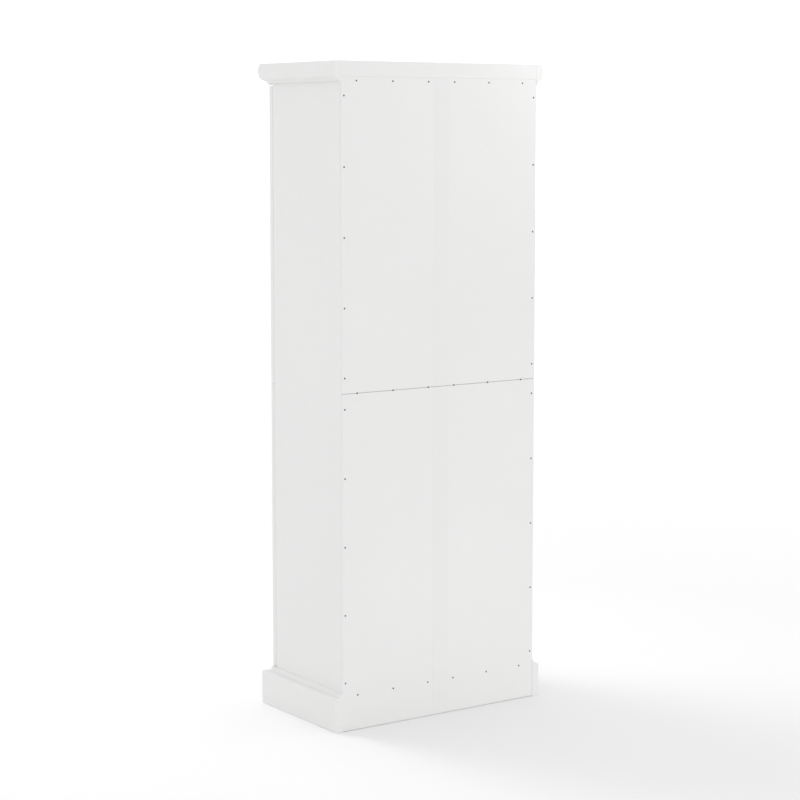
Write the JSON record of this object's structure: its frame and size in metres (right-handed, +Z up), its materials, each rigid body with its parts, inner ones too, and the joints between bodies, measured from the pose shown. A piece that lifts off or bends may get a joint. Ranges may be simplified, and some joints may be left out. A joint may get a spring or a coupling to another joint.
{
  "type": "pantry cabinet",
  "caption": "Tall narrow free-standing storage cabinet with framed doors, adjustable shelves, a moulded crown and a plinth, shown from its nailed back",
  "frame": {"origin": "on the floor, in the middle of the footprint of the crown and plinth", "axes": "+Z up, the doors face -Y, +X to the cabinet's right side as seen by someone who faces the doors"},
  "size_m": [0.707, 0.39, 1.829],
  "materials": {
    "painted_board": "satin white paint on board",
    "painted_door": "satin white paint",
    "shelf_board": "satin white foil on board",
    "painted_hardboard": "matt white paint on hardboard",
    "seam_tape": "matt",
    "nail_steel": "dull",
    "plated_steel": "nickel plated",
    "knob_metal": "satin nickel",
    "bumper_rubber": "soft clear grey"
  },
  "bodies": {
    "carcass": {"side_panel_left": "painted_board", "side_panel_right": "painted_board", "bottom_panel": "painted_board", "middle_shelf": "painted_board", "top_panel": "painted_board", "plinth_front_rail": "painted_board", "plinth_front": "painted_board", "plinth_left": "painted_board", "plinth_right": "painted_board", "plinth_back_rail": "painted_board", "crown_front_rail": "painted_board", "crown_back_rail": "painted_board", "crown_top_board": "painted_board", "crown_moulding_front": "painted_board", "crown_moulding_left": "painted_board", "crown_moulding_right": "painted_board", "back_upper_left": "painted_hardboard", "back_upper_right": "painted_hardboard", "back_lower_left": "painted_hardboard", "back_lower_right": "painted_hardboard", "back_seam_tape": "seam_tape", "back_nails": "nail_steel", "shelf_pins": "plated_steel", "hinge_arms": "plated_steel", "hinge_plates": "plated_steel", "door_bumpers": "bumper_rubber", "shelf_upper_1": "shelf_board", "shelf_upper_2": "shelf_board", "shelf_lower_1": "shelf_board", "shelf_lower_2": "shelf_board"},
    "door_upper_left": {"door_upper_left_stile_hinge": "painted_door", "door_upper_left_stile_knob": "painted_door", "door_upper_left_rail_top": "painted_door", "door_upper_left_rail_bottom": "painted_door", "door_upper_left_panel": "painted_door", "door_upper_left_knob": "knob_metal", "door_upper_left_hinge_cups": "plated_steel"},
    "door_upper_right": {"door_upper_right_stile_hinge": "painted_door", "door_upper_right_stile_knob": "painted_door", "door_upper_right_rail_top": "painted_door", "door_upper_right_rail_bottom": "painted_door", "door_upper_right_panel": "painted_door", "door_upper_right_knob": "knob_metal", "door_upper_right_hinge_cups": "plated_steel"},
    "door_lower_left": {"door_lower_left_stile_hinge": "painted_door", "door_lower_left_stile_knob": "painted_door", "door_lower_left_rail_top": "painted_door", "door_lower_left_rail_bottom": "painted_door", "door_lower_left_panel": "painted_door", "door_lower_left_knob": "knob_metal", "door_lower_left_hinge_cups": "plated_steel"},
    "door_lower_right": {"door_lower_right_stile_hinge": "painted_door", "door_lower_right_stile_knob": "painted_door", "door_lower_right_rail_top": "painted_door", "door_lower_right_rail_bottom": "painted_door", "door_lower_right_panel": "painted_door", "door_lower_right_knob": "knob_metal", "door_lower_right_hinge_cups": "plated_steel"}
  },
  "joints": [
    {"name": "door_upper_left_swing", "type": "hinge", "parent": "carcass", "child": "door_upper_left", "pos_m": [-0.3235, -0.1638, 1.35275], "axis": [0, 0, -1], "range_deg": [0, 95]},
    {"name": "door_upper_right_swing", "type": "hinge", "parent": "carcass", "child": "door_upper_right", "pos_m": [0.3235, -0.1638, 1.35275], "axis": [0, 0, 1], "range_deg": [0, 95]},
    {"name": "door_lower_left_swing", "type": "hinge", "parent": "carcass", "child": "door_lower_left", "pos_m": [-0.3235, -0.1638, 0.52377], "axis": [0, 0, -1], "range_deg": [0, 95]},
    {"name": "door_lower_right_swing", "type": "hinge", "parent": "carcass", "child": "door_lower_right", "pos_m": [0.3235, -0.1638, 0.52377], "axis": [0, 0, 1], "range_deg": [0, 95]}
  ]
}
